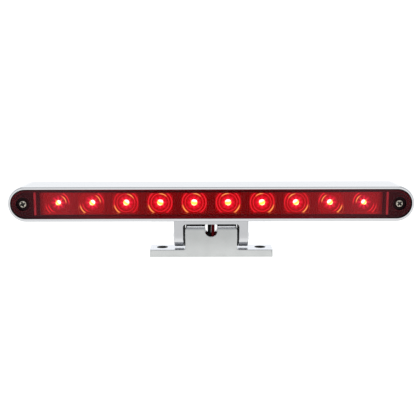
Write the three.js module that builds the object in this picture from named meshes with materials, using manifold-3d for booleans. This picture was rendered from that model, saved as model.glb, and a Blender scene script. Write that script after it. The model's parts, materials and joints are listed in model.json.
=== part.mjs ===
// Third brake light: a chrome bar lamp with ten red LEDs, tilting on a yoke above a two-ear foot.
// Millimetres. +X is to the lamp's right as seen from the front, +Y points back and +Z up; the lens
// faces -Y. The origin is on the mounting surface, at the middle of the foot.

import * as THREE from "three";
import { mergeVertices } from "three/addons/utils/BufferGeometryUtils.js";
import Module from "manifold-3d";

const wasm = await Module();
wasm.setup();

// ---------------------------------------------------------------- driving dimensions

const GAP = 0.3; // between pieces that touch on the real lamp
const MARGIN = 1; // how far a cutting tool runs past the face it cuts

const BAR = { width: 236, height: 20.6, depth: 25, bottom: 22.35 };
const BAR_MID_Z = BAR.bottom + BAR.height / 2;
const BAR_FRONT = -BAR.depth / 2;
const BAR_BACK = BAR.depth / 2;

const HOUSING = { wall: 1.7, endWall: 1.3, backWall: 1.8, frontEdge: 0.5, backEdge: 2.2 };
const LEDGE = { front: 1.5, back: 3, width: 2.1 };
const BOSS = { x: 109.5, radius: 3.5, front: 0.4, holeEnd: 9 };

const LENS = { inset: 0.3, face: 1.6, skirt: 1.5, back: -1.8, edge: 0.5 };
const END_WALL = { x: 102.7, thickness: 1.2, back: -2.2 };
const PILLAR = { radius: 4.8, bore: 4, boreFloor: -10.2, hole: 1.7 };

const TRAY = { width: 201.6, height: 13, front: -9.4, floor: -5.6, back: -4.6 };
const CELL = { width: 15.2, height: 12, corner: 1.6, hole: 4.2 };
const BOARD = { width: 202, height: 12.6, front: -3.4, back: -1.8 };
const BACKPLATE = { front: -1.5, back: 0.1, slotWidth: 5.6, slotHeight: 4.2, slotDrop: 0.5 };
const GASKET = { front: 0.4, back: 1.2, width: 1.6 };

const LED_COUNT = 10;
const LED_PITCH = 20;
const LED = { baseRadius: 3.8, baseHeight: 1.6, domeRadius: 2.3, collar: 1 };
const RESISTOR = { x: 40, width: 3.2, depth: 0.6, height: 1.6 };
const DIODE = { width: 4.4, depth: 2.1, height: 2.6 };

const AXIS_Z = 11.22; // the tilt hinge runs along X at Y 0
const YOKE = { width: 44.1, leg: 5.5, depth: 12.06, bottom: 19.3, corner: 1.6 };
const YOKE_TOP = BAR.bottom - GAP;
const BLOCK = { width: 30.7, depth: 15.66, top: 17.6, edge: 1.3, fillet: 1.2 };
const FOOT = { width: 73.4, height: 4.53, corner: 1.2 };
const EAR_HOLE = { x: 29.4, radius: 3.1 };
const NOTCH = { radius: 3.6, centreZ: 15.84 };
const CHAMBER = { width: 15, depth: 11, top: 9 };
const SHAFT = { width: 6.8, depth: 11.2, y: -0.5, corner: 2 };
const EXIT_ARCH = { radius: 3.6, centreZ: 1.6 };

const HINGE_SCREW = { head: 2.9, headLength: 1.4, dome: 0.6, shoulder: 2, shank: 1.4, end: 9.2 };
const WASHER = { inner: 2.3, outer: 6, thickness: 0.6 };
const LENS_SCREW = { head: 2.45, headHeight: 1.7, shank: 1.4, end: 7 };
const YOKE_SCREW = { x: 10.5, y: 4.2, head: 2.3, headHeight: 1.5, shank: 1.2 };

const LEAD = { radius: 1.05, spacing: 1.2, y: 3 };
const GROMMET = { width: 7.2, depth: 4.8, holeWidth: 5.1, holeDepth: 2.7, top: 24.05 };
const COIL = { y: 26, middle: 10.5, columns: 3, bottom: 0.8, layers: 2 };
const TIE = { width: 3, thickness: 0.45, side: 0.5 };
const TIP = { x: 5.2, y: 21.2, turn: 7, sleeve: 2.8, wire: 6, wireRadius: 0.6 };

// The routes of the two free leads, from the grommet down through the base and out to the coil.
const BLACK_ROUTE = [
  [-1.2, 3, 18.2],
  [-1.2, 3, 14],
  [-1.2, 3, 10],
  [-1.2, 3.1, 6.6],
  [-1.2, 4.3, 3.3],
  [-1.15, 7.2, 1.8],
  [-0.7, 9.9, 1.75],
  [1.4, 11.7, 1.8],
  [4.4, 12.3, 1.85],
  [7.3, 13.4, 1.85],
];
const RED_ROUTE = [
  [1.2, 3, 18.2],
  [1.2, 3, 14],
  [1.2, 3, 10],
  [1.2, 3.1, 6.6],
  [1.2, 4.3, 3.3],
  [1.25, 7.2, 1.8],
  [1.5, 8.9, 2.5],
  [2.5, 10.6, 3.5],
  [4.6, 12, 4.15],
  [7.3, 13.4, 4.2],
];

// ---------------------------------------------------------------- solids from three.js geometry

/** A closed geometry as a solid that can be joined and cut. */
function solid(geometry) {
  const bare = geometry.index ? geometry.toNonIndexed() : geometry.clone();
  bare.deleteAttribute("normal");
  bare.deleteAttribute("uv");
  const merged = mergeVertices(bare, 1e-4);
  return new wasm.Manifold(
    new wasm.Mesh({
      numProp: 3,
      vertProperties: new Float32Array(merged.attributes.position.array),
      triVerts: new Uint32Array(merged.index.array),
    }),
  );
}

/** A solid as a geometry again. */
function geometryOf(body) {
  const { vertProperties, triVerts } = body.getMesh();
  const geometry = new THREE.BufferGeometry();
  geometry.setAttribute("position", new THREE.BufferAttribute(vertProperties, 3));
  geometry.setIndex(new THREE.BufferAttribute(triVerts, 1));
  geometry.computeVertexNormals();
  return geometry;
}

/** A box between two corners. */
function box([x0, y0, z0], [x1, y1, z1]) {
  const geometry = new THREE.BoxGeometry(x1 - x0, y1 - y0, z1 - z0);
  geometry.translate((x0 + x1) / 2, (y0 + y1) / 2, (z0 + z1) / 2);
  return geometry;
}

/** An extrusion of a shape by a length, with the same rounded edge at both ends. */
function extrusion(shape, length, curveSegments, edge = 0, edgeSegments = 2) {
  const geometry = new THREE.ExtrudeGeometry(shape, {
    depth: length - 2 * edge,
    curveSegments,
    bevelEnabled: edge > 0,
    bevelThickness: edge,
    bevelSize: edge,
    bevelOffset: -edge,
    bevelSegments: edgeSegments,
  });
  return geometry.translate(0, 0, edge);
}

/** A shape drawn in X and Z, pulled along Y from front to back. */
function alongY(shape, front, back, curveSegments = 10, edge = 0) {
  const geometry = extrusion(shape, back - front, curveSegments, edge);
  return geometry.rotateX(Math.PI / 2).translate(0, back, 0);
}

/** A shape drawn in Y and Z, pulled along X from left to right. */
function alongX(shape, left, right, curveSegments = 10) {
  const geometry = extrusion(shape, right - left, curveSegments);
  return geometry.rotateX(Math.PI / 2).rotateZ(Math.PI / 2).translate(left, 0, 0);
}

/** A shape drawn in X and Y, pulled up from bottom to top. */
function alongZ(shape, bottom, top, curveSegments = 6) {
  return extrusion(shape, top - bottom, curveSegments).translate(0, 0, bottom);
}

/** A turned body: [radius, height] pairs from the axis and back to it, about +Z. */
function turned(profile, segments = 24) {
  const points = profile.map(([radius, height]) => new THREE.Vector2(radius, height));
  return new THREE.LatheGeometry(points, segments).rotateX(Math.PI / 2);
}

/** A plain rod along +Z. */
function rod(radius, bottom, top, segments = 24) {
  return turned([[0, bottom], [radius, bottom], [radius, top], [0, top]], segments);
}

/** A rod along Y. */
function rodY(radius, front, back, x, z, segments = 24) {
  return rod(radius, -back, -front, segments).rotateX(Math.PI / 2).translate(x, 0, z);
}

/** A rod along X at the height of the hinge. */
function hingeRod(radius, left, right, segments = 24) {
  return rod(radius, left, right, segments).rotateY(Math.PI / 2).translate(0, 0, AXIS_Z);
}

// ---------------------------------------------------------------- outlines

/** A bar with round ends, centred on a height. */
function stadium(width, height, middle = 0) {
  const radius = height / 2;
  const x = width / 2 - radius;
  const shape = new THREE.Shape();
  shape.moveTo(-x, middle - radius);
  shape.lineTo(x, middle - radius);
  shape.absarc(x, middle, radius, -Math.PI / 2, Math.PI / 2, false);
  shape.lineTo(-x, middle + radius);
  shape.absarc(-x, middle, radius, Math.PI / 2, (3 * Math.PI) / 2, false);
  return shape;
}

/** A rectangle with four round corners, centred on a point. */
function roundedRectangle(width, height, corner, cx = 0, cy = 0) {
  const x = width / 2 - corner;
  const y = height / 2 - corner;
  const shape = new THREE.Shape();
  shape.absarc(cx + x, cy + y, corner, 0, Math.PI / 2, false);
  shape.absarc(cx - x, cy + y, corner, Math.PI / 2, Math.PI, false);
  shape.absarc(cx - x, cy - y, corner, Math.PI, (3 * Math.PI) / 2, false);
  shape.absarc(cx + x, cy - y, corner, (3 * Math.PI) / 2, 2 * Math.PI, false);
  return shape;
}

/** An outline inside the bar, inset from its top and bottom. The ends of the housing are thinner. */
function lampOutline(inset) {
  const endInset = inset - HOUSING.wall + HOUSING.endWall;
  return stadium(BAR.width - 2 * endInset, BAR.height - 2 * inset, BAR_MID_Z);
}

const LAMP_INSET = HOUSING.wall + GAP;
const SIDES = [["left", -1], ["right", 1]];

// ---------------------------------------------------------------- lamp head

function chromeHousing() {
  const outline = stadium(BAR.width, BAR.height, BAR_MID_Z);
  const softBack = solid(alongY(outline, BAR_FRONT - 20, BAR_BACK, 12, HOUSING.backEdge));
  const softFront = solid(alongY(outline, BAR_FRONT, BAR_BACK + 20, 12, HOUSING.frontEdge));
  const inside = lampOutline(HOUSING.wall);
  const throat = lampOutline(HOUSING.wall + LEDGE.width);
  let body = softBack.intersect(softFront);
  body = body.subtract(solid(alongY(inside, BAR_FRONT - MARGIN, LEDGE.front)));
  body = body.subtract(solid(alongY(throat, LEDGE.front - MARGIN, LEDGE.back + MARGIN)));
  body = body.subtract(solid(alongY(inside, LEDGE.back, BAR_BACK - HOUSING.backWall)));
  for (const [, side] of SIDES) {
    const x = side * BOSS.x;
    body = body.add(solid(rodY(BOSS.radius, BOSS.front, BAR_BACK - HOUSING.backWall / 2, x, BAR_MID_Z)));
    const hole = rodY(LENS_SCREW.shank + GAP, BOSS.front - MARGIN, BOSS.holeEnd, x, BAR_MID_Z, 16);
    body = body.subtract(solid(hole));
    body = body.subtract(yokeScrewTool(side));
  }
  return body.subtract(grommetTool());
}

/** The clearance of a yoke screw: its hole in the yoke and bottom wall, and room for its head. */
function yokeScrewTool(side) {
  const floor = BAR.bottom + HOUSING.wall;
  const hole = solid(rod(YOKE_SCREW.shank + GAP, YOKE.bottom - MARGIN, floor + MARGIN, 16));
  const headRoom = solid(rod(YOKE_SCREW.head + 2 * GAP, floor, floor + 4, 20));
  return hole.add(headRoom).translate([side * YOKE_SCREW.x, YOKE_SCREW.y, 0]);
}

/** The oval opening for the grommet, through the yoke, the bottom wall and the ledge. */
function grommetTool() {
  const outline = stadium(GROMMET.width + 2 * GAP, GROMMET.depth + 2 * GAP, LEAD.y);
  return solid(alongZ(outline, YOKE.bottom - MARGIN, GROMMET.top + 3));
}

function lampLens() {
  const front = BAR_FRONT + LENS.inset;
  const outline = lampOutline(LAMP_INSET);
  const soft = solid(alongY(outline, front, LENS.back + 10, 12, LENS.edge));
  const cutBack = box([-BAR.width, LENS.back, 0], [BAR.width, BAR_BACK + 10, 2 * BAR_MID_Z]);
  const inside = lampOutline(LAMP_INSET + LENS.skirt);
  let body = soft.subtract(solid(cutBack));
  body = body.subtract(solid(alongY(inside, front + LENS.face, LENS.back + MARGIN)));
  const reach = BAR.height / 2 - LAMP_INSET - LENS.skirt / 2;
  for (const [, side] of SIDES) {
    const wall = box(
      [side * END_WALL.x - END_WALL.thickness / 2, front + LENS.face / 2, BAR_MID_Z - reach],
      [side * END_WALL.x + END_WALL.thickness / 2, END_WALL.back, BAR_MID_Z + reach],
    );
    const x = side * BOSS.x;
    body = body.add(solid(wall));
    body = body.add(solid(rodY(PILLAR.radius, front + LENS.face / 2, LENS.back, x, BAR_MID_Z)));
    body = body.subtract(solid(rodY(PILLAR.bore, front - MARGIN, PILLAR.boreFloor, x, BAR_MID_Z)));
    const hole = rodY(PILLAR.hole, front, LENS.back + MARGIN, x, BAR_MID_Z, 16);
    body = body.subtract(solid(hole));
  }
  return body;
}

function lensGasket() {
  const outer = solid(alongY(lampOutline(LAMP_INSET), GASKET.front, GASKET.back));
  const inner = lampOutline(LAMP_INSET + GASKET.width);
  return outer.subtract(solid(alongY(inner, GASKET.front - MARGIN, GASKET.back + MARGIN)));
}

function lampBackplate() {
  let body = solid(alongY(lampOutline(LAMP_INSET), BACKPLATE.front, BACKPLATE.back));
  const [front, back] = [BACKPLATE.front - MARGIN, BACKPLATE.back + MARGIN];
  for (const [, side] of SIDES) {
    body = body.subtract(solid(rodY(PILLAR.hole, front, back, side * BOSS.x, BAR_MID_Z, 16)));
  }
  const { slotWidth, slotHeight, slotDrop } = BACKPLATE;
  const slot = stadium(slotWidth, slotHeight, INNER_LEAD_TOP - slotDrop);
  return body.subtract(solid(alongY(slot, front, back, 6)));
}

function circuitBoard() {
  const [x, z] = [BOARD.width / 2, BOARD.height / 2];
  return box([-x, BOARD.front, BAR_MID_Z - z], [x, BOARD.back, BAR_MID_Z + z]);
}

const LED_PLACES = Array.from({ length: LED_COUNT }, (_, i) => (i - (LED_COUNT - 1) / 2) * LED_PITCH);
const ON_BOARD = BOARD.front - GAP;

function reflectorTray() {
  const [x, z] = [TRAY.width / 2, TRAY.height / 2];
  let body = solid(box([-x, TRAY.front, BAR_MID_Z - z], [x, TRAY.back, BAR_MID_Z + z]));
  for (const place of LED_PLACES) {
    const cell = roundedRectangle(CELL.width, CELL.height, CELL.corner, place, BAR_MID_Z);
    body = body.subtract(solid(alongY(cell, TRAY.front - MARGIN, TRAY.floor, 3)));
    const hole = rodY(CELL.hole, TRAY.floor - MARGIN, TRAY.back + MARGIN, place, BAR_MID_Z, 20);
    body = body.subtract(solid(hole));
  }
  const room = box(
    [-DIODE.height / 2 - GAP, ON_BOARD - DIODE.depth - GAP, BAR_MID_Z - DIODE.width / 2 - GAP],
    [DIODE.height / 2 + GAP, TRAY.back + MARGIN, BAR_MID_Z + DIODE.width / 2 + GAP],
  );
  return body.subtract(solid(room));
}

/** One LED: a round base, a short collar and a dome that points to the front. */
function led(place) {
  const { baseRadius, baseHeight, domeRadius, collar } = LED;
  const profile = [[0, 0], [baseRadius, 0], [baseRadius, baseHeight], [domeRadius, baseHeight]];
  const steps = 4;
  for (let i = 0; i <= steps; i++) {
    const angle = ((Math.PI / 2) * i) / steps;
    const radius = i === steps ? 0 : domeRadius * Math.cos(angle);
    profile.push([radius, baseHeight + collar + domeRadius * Math.sin(angle)]);
  }
  return turned(profile, 16).rotateX(Math.PI / 2).translate(place, ON_BOARD, BAR_MID_Z);
}

function resistor(side) {
  const { x, width, depth, height } = RESISTOR;
  const low = [side * x - height / 2, ON_BOARD - depth, BAR_MID_Z - width / 2];
  const high = [side * x + height / 2, ON_BOARD, BAR_MID_Z + width / 2];
  return box(low, high);
}

function polarityDiode() {
  const { width, depth, height } = DIODE;
  const low = [-height / 2, ON_BOARD - depth, BAR_MID_Z - width / 2];
  return box(low, [height / 2, ON_BOARD, BAR_MID_Z + width / 2]);
}

/** A cross-head screw that holds the lens; its head sits in the counterbore. */
function lensScrew(side) {
  const seat = -PILLAR.boreFloor + GAP;
  const { head, headHeight, shank, end } = LENS_SCREW;
  const profile = [
    [0, -end],
    [shank, -end + 1],
    [shank, seat],
    [head, seat],
    [head, seat + 0.6 * headHeight],
    [0.7 * head, seat + 0.92 * headHeight],
    [0, seat + headHeight],
  ];
  let body = solid(turned(profile, 20));
  const [arm, half, depth] = [1.5, 0.3, 0.8];
  const top = seat + headHeight;
  body = body.subtract(solid(box([-arm, -half, top - depth], [arm, half, top + MARGIN])));
  body = body.subtract(solid(box([-half, -arm, top - depth], [half, arm, top + MARGIN])));
  const geometry = geometryOf(body).rotateX(Math.PI / 2);
  return geometry.translate(side * BOSS.x, 0, BAR_MID_Z);
}

function swivelYoke() {
  const { width, leg, depth, bottom, corner } = YOKE;
  const low = AXIS_Z - depth / 2;
  const outer = width / 2;
  const inner = outer - leg;
  const front = new THREE.Shape();
  front.moveTo(-outer, low);
  front.lineTo(-inner, low);
  front.lineTo(-inner, bottom - corner);
  front.absarc(-inner + corner, bottom - corner, corner, Math.PI, Math.PI / 2, true);
  front.lineTo(inner - corner, bottom);
  front.absarc(inner - corner, bottom - corner, corner, Math.PI / 2, 0, true);
  front.lineTo(inner, low);
  front.lineTo(outer, low);
  front.lineTo(outer, YOKE_TOP);
  front.lineTo(-outer, YOKE_TOP);
  const side = new THREE.Shape();
  side.moveTo(depth / 2, AXIS_Z);
  side.lineTo(depth / 2, YOKE_TOP);
  side.lineTo(-depth / 2, YOKE_TOP);
  side.lineTo(-depth / 2, AXIS_Z);
  side.absarc(0, AXIS_Z, depth / 2, Math.PI, 2 * Math.PI, false);
  let body = solid(alongY(front, -depth / 2 - MARGIN, depth / 2 + MARGIN, 4));
  body = body.intersect(solid(alongX(side, -outer, outer, 12)));
  const seat = outer - HINGE_SCREW.headLength - GAP;
  for (const [, s] of SIDES) {
    const span = (from, to) => (s > 0 ? [from, to] : [-to, -from]);
    body = body.subtract(solid(hingeRod(HINGE_SCREW.head + GAP, ...span(seat, outer + MARGIN))));
    body = body.subtract(solid(hingeRod(HINGE_SCREW.shoulder + GAP, ...span(inner - 1, outer), 20)));
    body = body.subtract(yokeScrewTool(s));
  }
  return body.subtract(grommetTool());
}

function yokeScrew(side) {
  const seat = BAR.bottom + HOUSING.wall + GAP;
  const { head, headHeight, shank } = YOKE_SCREW;
  const profile = [
    [0, YOKE.bottom + GAP],
    [shank, YOKE.bottom + GAP],
    [shank, seat],
    [head, seat],
    [head, seat + 0.6 * headHeight],
    [0.6 * head, seat + headHeight],
    [0, seat + headHeight],
  ];
  return turned(profile, 16).translate(side * YOKE_SCREW.x, YOKE_SCREW.y, 0);
}

function wireGrommet() {
  const { width, depth, holeWidth, holeDepth, top } = GROMMET;
  const outer = solid(alongZ(stadium(width, depth, LEAD.y), YOKE.bottom, top));
  const hole = stadium(holeWidth, holeDepth, LEAD.y);
  return outer.subtract(solid(alongZ(hole, YOKE.bottom - MARGIN, top + MARGIN)));
}

// ---------------------------------------------------------------- base

function swivelBase() {
  const { width, depth, top, edge, fillet } = BLOCK;
  const x = width / 2;
  const y = depth / 2;
  const front = new THREE.Shape();
  front.moveTo(-FOOT.width / 2, 0);
  front.lineTo(FOOT.width / 2, 0);
  front.lineTo(FOOT.width / 2, FOOT.height);
  front.lineTo(x + fillet, FOOT.height);
  front.absarc(x + fillet, FOOT.height + fillet, fillet, (3 * Math.PI) / 2, Math.PI, true);
  front.lineTo(x, top - edge);
  front.absarc(x - edge, top - edge, edge, 0, Math.PI / 2, false);
  front.lineTo(-x + edge, top);
  front.absarc(-x + edge, top - edge, edge, Math.PI / 2, Math.PI, false);
  front.lineTo(-x, FOOT.height + fillet);
  front.absarc(-x - fillet, FOOT.height + fillet, fillet, 0, -Math.PI / 2, true);
  front.lineTo(-FOOT.width / 2, FOOT.height);
  const side = new THREE.Shape();
  side.moveTo(-y, 0);
  side.lineTo(y, 0);
  side.lineTo(y, top - edge);
  side.absarc(y - edge, top - edge, edge, 0, Math.PI / 2, false);
  side.lineTo(-y + edge, top);
  side.absarc(-y + edge, top - edge, edge, Math.PI / 2, Math.PI, false);
  const plan = roundedRectangle(FOOT.width, depth, FOOT.corner);
  let body = solid(alongY(front, -y - MARGIN, y + MARGIN, 3));
  body = body.intersect(solid(alongX(side, -FOOT.width, FOOT.width, 4)));
  body = body.intersect(solid(alongZ(plan, 0, top, 3)));
  for (const cut of baseCuts()) {
    body = body.subtract(solid(cut));
  }
  return body;
}

/** The notch, lead shaft, hollow, rear arch, ear holes and screw holes of the base. */
function baseCuts() {
  const y = BLOCK.depth / 2 + MARGIN;
  const notch = new THREE.Shape();
  notch.absarc(0, NOTCH.centreZ, NOTCH.radius, Math.PI, 2 * Math.PI, false);
  notch.lineTo(NOTCH.radius, BLOCK.top + MARGIN);
  notch.lineTo(-NOTCH.radius, BLOCK.top + MARGIN);
  const arch = new THREE.Shape();
  arch.moveTo(-EXIT_ARCH.radius, -MARGIN);
  arch.lineTo(EXIT_ARCH.radius, -MARGIN);
  arch.absarc(0, EXIT_ARCH.centreZ, EXIT_ARCH.radius, 0, Math.PI, false);
  const shaft = roundedRectangle(SHAFT.width, SHAFT.depth, SHAFT.corner, 0, SHAFT.y);
  const hollow = roundedRectangle(CHAMBER.width, CHAMBER.depth, 2);
  const cuts = [
    alongY(notch, -y, y, 8),
    alongY(arch, CHAMBER.depth / 2 - MARGIN, y, 6),
    alongZ(shaft, CHAMBER.top - MARGIN, NOTCH.centreZ, 5),
    alongZ(hollow, -MARGIN, CHAMBER.top, 3),
  ];
  for (const [, side] of SIDES) {
    const hole = rod(EAR_HOLE.radius, -MARGIN, FOOT.height + MARGIN, 28);
    cuts.push(hole.translate(side * EAR_HOLE.x, 0, 0));
    const ends = [side * (HINGE_SCREW.end - GAP), side * (BLOCK.width / 2 + MARGIN)];
    cuts.push(hingeRod(HINGE_SCREW.shank + GAP, Math.min(...ends), Math.max(...ends), 16));
  }
  return cuts;
}

/** A hinge screw: domed head, shoulder that the leg turns on, and a shank in the block. */
function hingeScrew(side) {
  const outer = YOKE.width / 2;
  const { head, headLength, dome, shoulder, shank, end } = HINGE_SCREW;
  const profile = [
    [0, end],
    [shank, end],
    [shank, BLOCK.width / 2 + GAP],
    [shoulder, BLOCK.width / 2 + GAP],
    [shoulder, outer - headLength],
    [head, outer - headLength],
    [head, outer],
    [0.8 * head, outer + 0.6 * dome],
    [0.45 * head, outer + dome],
    [0, outer + dome],
  ];
  const geometry = turned(profile, 24).rotateY((side * Math.PI) / 2);
  return geometry.translate(0, 0, AXIS_Z);
}

function hingeWasher(side) {
  const { inner, outer, thickness } = WASHER;
  const middle = (BLOCK.width / 2 + YOKE.width / 2 - YOKE.leg) / 2;
  const near = middle - thickness / 2;
  const far = middle + thickness / 2;
  const profile = [[inner, near], [outer, near], [outer, far], [inner, far], [inner, near]];
  return turned(profile, 24).rotateY((side * Math.PI) / 2).translate(0, 0, AXIS_Z);
}

// ---------------------------------------------------------------- leads

/** A round lead with eight sides along a list of points. */
function leadTube(points) {
  const curve = new THREE.CatmullRomCurve3(points.map((p) => new THREE.Vector3(...p)));
  const section = new THREE.Shape();
  section.absarc(0, 0, LEAD.radius, 0, 2 * Math.PI, false);
  const steps = Math.max(3, Math.round(curve.getLength() / (4.4 * LEAD.radius)));
  return new THREE.ExtrudeGeometry(section, { extrudePath: curve, steps, curveSegments: 4 });
}

const INNER_LEAD_TOP = BAR_MID_Z + 3;

/** A lead inside the lamp head: out of the backplate, down behind it and through the grommet. */
function innerLead(side) {
  const x = side * LEAD.spacing;
  const bend = LEAD.y - BOARD.back - GAP;
  return leadTube([
    [x, BOARD.back + GAP, INNER_LEAD_TOP],
    [x, BOARD.back + GAP + 0.5 * bend, INNER_LEAD_TOP - 0.15 * bend],
    [x, BOARD.back + GAP + 0.86 * bend, INNER_LEAD_TOP - 0.5 * bend],
    [x, LEAD.y, INNER_LEAD_TOP - bend],
    [x, LEAD.y, YOKE.bottom + 6],
    [x, LEAD.y, YOKE.bottom],
  ]);
}

/** The ring that both wound leads fill, grown by a clearance. */
function coilRing(grow = 0) {
  const { middle, columns, layers, bottom, y } = COIL;
  const half = columns * LEAD.radius + grow;
  const [low, high] = [bottom - grow, bottom + layers * 2 * LEAD.radius + grow];
  const [inner, outer] = [middle - half, middle + half];
  const profile = [[inner, low], [outer, low], [outer, high], [inner, high], [inner, low]];
  return turned(profile, 40).translate(0, y, 0);
}

/** A free lead, trimmed where it reaches the coil. */
function freeLead(route) {
  return solid(leadTube(route)).subtract(solid(coilRing(GAP)));
}

/** The band round the coil, on its left side. */
function coilTie() {
  const { middle, columns, layers, bottom, y } = COIL;
  const halfWidth = columns * LEAD.radius + TIE.side;
  const halfHeight = layers * LEAD.radius + GAP;
  const centre = bottom + layers * LEAD.radius;
  const wall = 2 * TIE.thickness;
  const outer = roundedRectangle(2 * halfWidth + wall, 2 * halfHeight + wall, 1, -middle, centre);
  const hole = roundedRectangle(2 * halfWidth, 2 * halfHeight, 0.6, -middle, centre);
  const [front, back] = [y - TIE.width / 2, y + TIE.width / 2];
  const body = solid(alongY(outer, front, back, 3));
  return body.subtract(solid(alongY(hole, front - MARGIN, back + MARGIN, 3)));
}

/** The end of a lead inside the coil: the last of the insulation and the tinned wire. */
function leadTip(layer) {
  const z = COIL.bottom + (2 * layer + 1) * LEAD.radius;
  const profile = [
    [0, 0],
    [LEAD.radius, 0],
    [LEAD.radius, TIP.sleeve],
    [TIP.wireRadius, TIP.sleeve],
    [TIP.wireRadius, TIP.sleeve + TIP.wire],
    [0, TIP.sleeve + TIP.wire],
  ];
  const geometry = turned(profile, 8).rotateX(-Math.PI / 2);
  geometry.rotateZ((TIP.turn * Math.PI) / 180).translate(TIP.x, TIP.y, z);
  return solid(geometry).subtract(solid(coilRing(GAP)));
}

// ---------------------------------------------------------------- the assembly

const CHROME = { color: 0xd9dcdf, roughness: 0.08, metalness: 1 };
const SATIN_CHROME = { color: 0xc9ccca, roughness: 0.28, metalness: 1 };
const NICKEL = { color: 0xcfc4b0, roughness: 0.3, metalness: 1 };
const RED_LENS = { color: 0x7a0f14, roughness: 0.1, metalness: 0 };
const BLACK_RUBBER = { color: 0x1a1a1b, roughness: 0.8, metalness: 0 };
const TRAY_SILVER = { color: 0xb9b9bd, roughness: 0.25, metalness: 0.8 };
const GREEN_BOARD = { color: 0x1f5a34, roughness: 0.6, metalness: 0 };
const RED_LED = { color: 0xff2a18, roughness: 0.2, metalness: 0 };
const BLACK_PLASTIC = { color: 0x202124, roughness: 0.6, metalness: 0 };
const BLACK_WIRE = { color: 0x131314, roughness: 0.45, metalness: 0 };
const RED_WIRE = { color: 0x8e1218, roughness: 0.45, metalness: 0 };
const TINNED = { color: 0xbfc1c4, roughness: 0.35, metalness: 1 };

const lamp = new THREE.Group();

/** Adds one named piece with a material of its own. */
function add(name, piece, look) {
  const geometry = piece.isBufferGeometry ? piece : geometryOf(piece);
  const mesh = new THREE.Mesh(geometry, new THREE.MeshStandardMaterial(look));
  mesh.name = name;
  lamp.add(mesh);
}

add("chrome_housing", chromeHousing(), CHROME);
add("lamp_lens", lampLens(), RED_LENS);
add("lens_gasket", lensGasket(), BLACK_RUBBER);
add("lamp_backplate", lampBackplate(), BLACK_PLASTIC);
add("reflector_tray", reflectorTray(), TRAY_SILVER);
add("circuit_board", circuitBoard(), GREEN_BOARD);
LED_PLACES.forEach((place, i) => {
  add(`led_${String(i + 1).padStart(2, "0")}`, led(place), RED_LED);
});
add("polarity_diode", polarityDiode(), BLACK_PLASTIC);
add("wire_grommet", wireGrommet(), BLACK_RUBBER);
add("swivel_yoke", swivelYoke(), CHROME);
add("swivel_base", swivelBase(), SATIN_CHROME);
for (const [word, side] of SIDES) {
  add(`resistor_${word}`, resistor(side), BLACK_PLASTIC);
  add(`lens_screw_${word}`, lensScrew(side), NICKEL);
  add(`yoke_screw_${word}`, yokeScrew(side), NICKEL);
  add(`hinge_screw_${word}`, hingeScrew(side), CHROME);
  add(`hinge_washer_${word}`, hingeWasher(side), BLACK_PLASTIC);
}
add("black_lead_inner", innerLead(-1), BLACK_WIRE);
add("red_lead_inner", innerLead(1), RED_WIRE);
add("black_lead", freeLead(BLACK_ROUTE), BLACK_WIRE);
add("red_lead", freeLead(RED_ROUTE), RED_WIRE);
add("lead_coil", coilRing(), BLACK_WIRE);
add("coil_tie", coilTie(), BLACK_PLASTIC);
add("black_lead_tip", leadTip(0), TINNED);
add("red_lead_tip", leadTip(1), TINNED);

export default lamp;
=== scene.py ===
import json
from math import atan2, cos, hypot, pi, radians, sin

import bmesh
import bpy
from mathutils import Matrix, Vector


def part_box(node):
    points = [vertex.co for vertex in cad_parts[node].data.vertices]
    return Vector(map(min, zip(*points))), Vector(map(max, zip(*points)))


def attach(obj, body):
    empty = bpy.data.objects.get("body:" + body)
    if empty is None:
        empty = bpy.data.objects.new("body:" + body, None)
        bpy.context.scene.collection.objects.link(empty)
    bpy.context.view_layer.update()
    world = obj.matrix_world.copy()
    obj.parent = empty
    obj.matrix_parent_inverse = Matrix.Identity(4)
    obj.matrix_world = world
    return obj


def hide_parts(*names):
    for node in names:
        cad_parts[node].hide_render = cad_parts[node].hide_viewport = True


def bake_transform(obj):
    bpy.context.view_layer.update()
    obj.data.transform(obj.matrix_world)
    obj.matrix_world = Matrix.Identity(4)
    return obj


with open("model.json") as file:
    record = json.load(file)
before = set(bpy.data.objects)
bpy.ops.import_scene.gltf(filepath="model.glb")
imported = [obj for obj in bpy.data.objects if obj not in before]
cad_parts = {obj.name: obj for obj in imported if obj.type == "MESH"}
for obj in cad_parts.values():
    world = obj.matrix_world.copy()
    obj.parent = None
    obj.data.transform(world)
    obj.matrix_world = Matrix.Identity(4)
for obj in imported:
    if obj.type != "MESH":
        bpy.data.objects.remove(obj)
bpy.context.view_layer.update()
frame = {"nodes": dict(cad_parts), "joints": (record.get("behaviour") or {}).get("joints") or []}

MM = 0.001
SIDES = (("left", -1), ("right", 1))

# Dimensions that the CAD boxes don't give, in millimetres. Edges are a little rounder than in part.mjs.
WALL, END_WALL = 1.7, 1.3
BACK_WALL, BACK_EDGE, FRONT_EDGE = 1.8, 2.2, 0.85
LENS_FACE, LENS_SKIRT = 1.6, 1.5
PILLAR, BORE, SCREW_HOLE = 4.8, 4.0, 1.7
LEG, LEG_CEILING, LEG_CORNER = 5.5, 19.3, 1.6
BLOCK_HALF, BLOCK_EDGE, FILLET = 15.35, 1.3, 1.2
FOOT_HEIGHT, FOOT_CORNER = 4.53, 1.2
SOFT = 0.45  # rounding of the castings' edges
LENS_WALL_X, LENS_WALL_HALF = 102.7, 0.6
CELL_WIDTH, CELL_HEIGHT, CELL_CORNER = 15.2, 12, 1.6
EAR_HOLE_X, EAR_HOLE = 29.4, 3.1
NOTCH, NOTCH_Z, ARCH_Z = 3.6, 15.84, 1.6
LEAD_Y, LEAD_PITCH = 3, 2.1


def span(node):
    """Lowest and highest corners of a CAD node, in millimetres."""
    low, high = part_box(node)
    return low / MM, high / MM


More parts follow.
